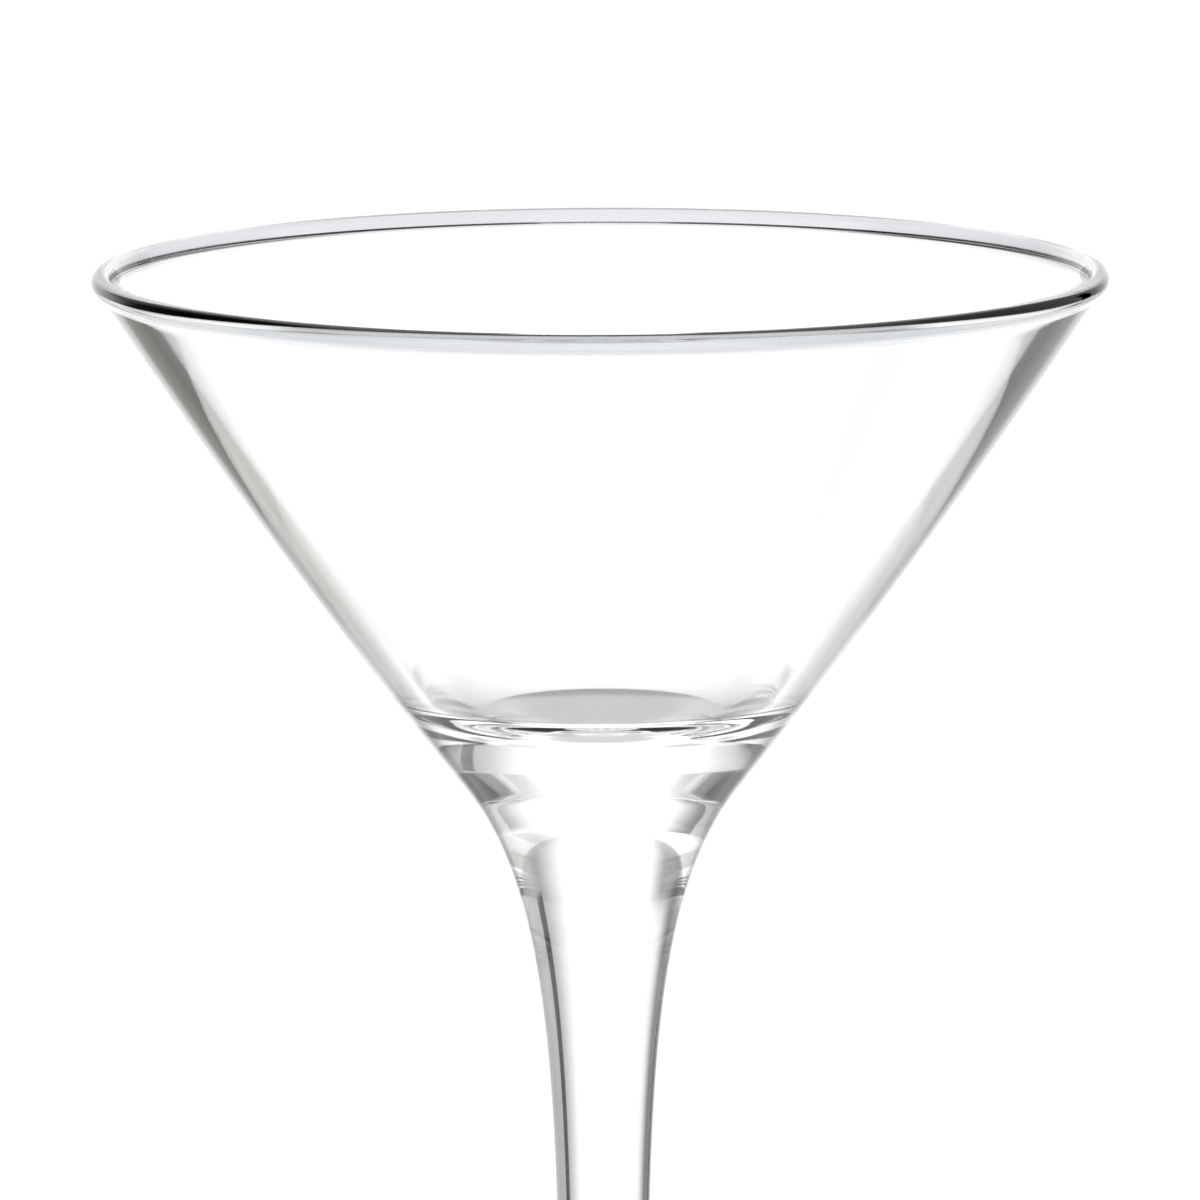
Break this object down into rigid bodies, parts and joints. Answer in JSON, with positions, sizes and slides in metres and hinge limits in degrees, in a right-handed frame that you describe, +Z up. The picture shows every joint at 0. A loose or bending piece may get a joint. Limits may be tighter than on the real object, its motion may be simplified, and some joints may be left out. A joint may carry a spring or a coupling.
{
  "type": "martini glass",
  "caption": "Clear stemmed cocktail glass: a wide cone bowl with a rounded lip and a thick solid base, a tapering solid stem, and a round foot.",
  "frame": {"origin": "centre of the foot, on the surface that the glass stands on", "axes": "+Z up along the stem, the axis that every piece is turned about; +X and +Y are alike"},
  "size_m": [0.108, 0.108, 0.172],
  "materials": {
    "clear_glass": "clear, fire-polished"
  },
  "bodies": {
    "root": {"bowl": "clear_glass", "stem": "clear_glass", "foot": "clear_glass"}
  },
  "joints": []
}
